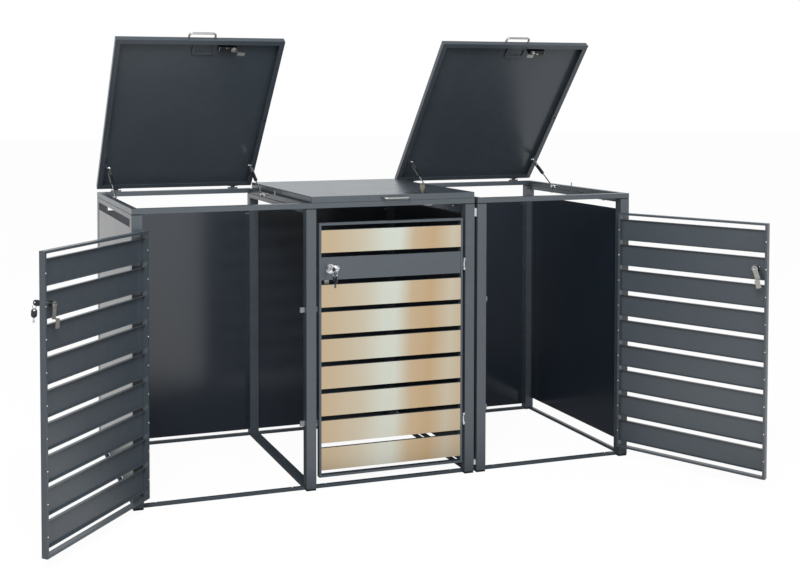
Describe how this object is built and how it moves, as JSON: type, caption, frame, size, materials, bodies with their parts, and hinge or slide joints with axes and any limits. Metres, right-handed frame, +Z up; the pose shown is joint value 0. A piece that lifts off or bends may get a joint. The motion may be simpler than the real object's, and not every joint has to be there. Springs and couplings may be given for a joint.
{
  "type": "wheelie bin store",
  "caption": "Steel wheelie bin store with slatted lockable doors and lift-up lids on gas struts, built as a wide unit joined to a narrow one.",
  "frame": {"origin": "front left bottom corner of the carcass, at the left front post's foot on the ground", "axes": "+X to the right along the front, +Y from the doors to the back, +Z up"},
  "size_m": [2.9299, 1.4268, 1.8599],
  "materials": {
    "coated_steel": "anthracite powder coat, fine satin",
    "stainless_facing": "warm brushed stainless sheet",
    "chrome_fittings": "bright plated",
    "satin_steel": "satin round bar",
    "black_plastic": "matt black",
    "grey_plastic": "grey moulded buffer",
    "black_steel": "semi gloss black tube"
  },
  "bodies": {
    "root": {"posts_double": "coated_steel", "posts_single": "coated_steel", "post_plugs": "black_plastic", "top_frame_double": "coated_steel", "top_frame_single": "coated_steel", "cross_rails": "coated_steel", "floor_rails": "coated_steel", "side_panels": "coated_steel", "back_panels": "coated_steel", "panel_screws": "chrome_fittings", "joining_spacers": "coated_steel", "door_hinge_pins": "chrome_fittings", "door_stops": "grey_plastic", "lid_hinge_brackets": "coated_steel", "strut_brackets": "chrome_fittings", "lid_rest_pins": "chrome_fittings"},
    "door_left": {"door_frame_left": "coated_steel", "door_slats_left": "coated_steel", "door_facings_left": "stainless_facing", "door_lock_body_left": "chrome_fittings"},
    "door_lock_left": {"door_lock_cam_left": "chrome_fittings", "door_lock_keys_left": "chrome_fittings"},
    "door_middle": {"door_frame_middle": "coated_steel", "door_slats_middle": "coated_steel", "door_facings_middle": "stainless_facing", "door_lock_body_middle": "chrome_fittings"},
    "door_lock_middle": {"door_lock_cam_middle": "chrome_fittings", "door_lock_keys_middle": "chrome_fittings"},
    "door_right": {"door_frame_right": "coated_steel", "door_slats_right": "coated_steel", "door_facings_right": "stainless_facing", "door_lock_body_right": "chrome_fittings"},
    "door_lock_right": {"door_lock_cam_right": "chrome_fittings", "door_lock_keys_right": "chrome_fittings"},
    "lid_left": {"lid_tray_left": "coated_steel", "lid_handle_left": "satin_steel", "lid_fittings_left": "coated_steel", "lid_lock_body_left": "black_plastic"},
    "struts_left": {"strut_cylinders_left": "black_steel"},
    "strut_rods_left": {"strut_rods_left": "chrome_fittings"},
    "lid_lock_left": {"lid_lock_cam_left": "chrome_fittings", "lid_lock_key_left": "chrome_fittings"},
    "lid_middle": {"lid_tray_middle": "coated_steel", "lid_handle_middle": "satin_steel", "lid_fittings_middle": "coated_steel", "lid_lock_body_middle": "black_plastic"},
    "struts_middle": {"strut_cylinders_middle": "black_steel"},
    "strut_rods_middle": {"strut_rods_middle": "chrome_fittings"},
    "lid_lock_middle": {"lid_lock_cam_middle": "chrome_fittings", "lid_lock_key_middle": "chrome_fittings"},
    "lid_right": {"lid_tray_right": "coated_steel", "lid_handle_right": "satin_steel", "lid_fittings_right": "coated_steel", "lid_lock_body_right": "black_plastic"},
    "struts_right": {"strut_cylinders_right": "black_steel"},
    "strut_rods_right": {"strut_rods_right": "chrome_fittings"},
    "lid_lock_right": {"lid_lock_cam_right": "chrome_fittings", "lid_lock_key_right": "chrome_fittings"}
  },
  "joints": [
    {"name": "door_left_swing", "type": "hinge", "parent": "root", "child": "door_left", "pos_m": [0.04825, 0, 0.89], "axis": [0, 0, -1], "range_deg": [-133.6, 31.4]},
    {"name": "door_lock_left_turn", "type": "hinge", "parent": "door_left", "child": "door_lock_left", "pos_m": [-0.34748, -0.45065, 0.898], "axis": [-0.7242, 0.6896, 0], "range_deg": [-5, 85]},
    {"name": "door_middle_swing", "type": "hinge", "parent": "root", "child": "door_middle", "pos_m": [1.40775, 0, 0.89], "axis": [0, 0, 1], "range_deg": [0, 165]},
    {"name": "door_lock_middle_turn", "type": "hinge", "parent": "door_middle", "child": "door_lock_middle", "pos_m": [0.8085, 0.0242, 0.898], "axis": [0, 1, 0], "range_deg": [0, 90]},
    {"name": "door_right_swing", "type": "hinge", "parent": "root", "child": "door_right", "pos_m": [2.16375, 0, 0.89], "axis": [0, 0, 1], "range_deg": [-118.6, 46.4]},
    {"name": "door_lock_right_turn", "type": "hinge", "parent": "door_right", "child": "door_lock_right", "pos_m": [2.42601, -0.53157, 0.898], "axis": [-0.878, -0.4787, 0], "range_deg": [-18, 72]},
    {"name": "lid_left_lift", "type": "hinge", "parent": "root", "child": "lid_left", "pos_m": [0.3635, 0.844, 1.165], "axis": [-1, 0, 0], "range_deg": [-51.5, 0]},
    {"name": "struts_left_swing", "type": "hinge", "parent": "lid_left", "child": "struts_left", "pos_m": [0.3635, 0.7428, 1.27617], "axis": [1, 0, 0], "range_deg": [-85.67, 0]},
    {"name": "strut_rods_left_slide", "type": "slide", "parent": "struts_left", "child": "strut_rods_left", "axis": [0, -0.8356, -0.5493], "range_m": [-0.08518, 0]},
    {"name": "lid_lock_left_turn", "type": "hinge", "parent": "lid_left", "child": "lid_lock_left", "pos_m": [0.5065, 0.34802, 1.79014], "axis": [0, 0.7826, 0.6225], "range_deg": [-95, 0]},
    {"name": "lid_middle_lift", "type": "hinge", "parent": "root", "child": "lid_middle", "pos_m": [1.0925, 0.844, 1.165], "axis": [-1, 0, 0], "range_deg": [0, 51.5]},
    {"name": "struts_middle_swing", "type": "hinge", "parent": "lid_middle", "child": "struts_middle", "pos_m": [1.0925, 0.694, 1.155], "axis": [1, 0, 0], "range_deg": [0, 85.67]},
    {"name": "strut_rods_middle_slide", "type": "slide", "parent": "struts_middle", "child": "strut_rods_middle", "axis": [0, -1, 0.0075], "range_m": [0, 0.08518]},
    {"name": "lid_lock_middle_turn", "type": "hinge", "parent": "lid_middle", "child": "lid_lock_middle", "pos_m": [1.2365, 0.046, 1.166], "axis": [0, 0, 1], "range_deg": [-90, 0]},
    {"name": "lid_right_lift", "type": "hinge", "parent": "root", "child": "lid_right", "pos_m": [1.841, 0.844, 1.165], "axis": [-1, 0, 0], "range_deg": [-51.5, 0]},
    {"name": "struts_right_swing", "type": "hinge", "parent": "lid_right", "child": "struts_right", "pos_m": [1.841, 0.7428, 1.27617], "axis": [1, 0, 0], "range_deg": [-85.67, 0]},
    {"name": "strut_rods_right_slide", "type": "slide", "parent": "struts_right", "child": "strut_rods_right", "axis": [0, -0.8356, -0.5493], "range_m": [-0.08518, 0]},
    {"name": "lid_lock_right_turn", "type": "hinge", "parent": "lid_right", "child": "lid_lock_right", "pos_m": [1.933, 0.34802, 1.79014], "axis": [0, -0.7826, -0.6225], "range_deg": [-84, 0]}
  ],
  "couplings": [
    {"joint": "struts_left_swing", "follows": "lid_left_lift", "ratio": 1.6553},
    {"joint": "strut_rods_left_slide", "follows": "lid_left_lift", "m_per_rad": 0.094291},
    {"joint": "struts_middle_swing", "follows": "lid_middle_lift", "ratio": 1.6553},
    {"joint": "strut_rods_middle_slide", "follows": "lid_middle_lift", "m_per_rad": 0.094291},
    {"joint": "struts_right_swing", "follows": "lid_right_lift", "ratio": 1.6553},
    {"joint": "strut_rods_right_slide", "follows": "lid_right_lift", "m_per_rad": 0.094291}
  ]
}
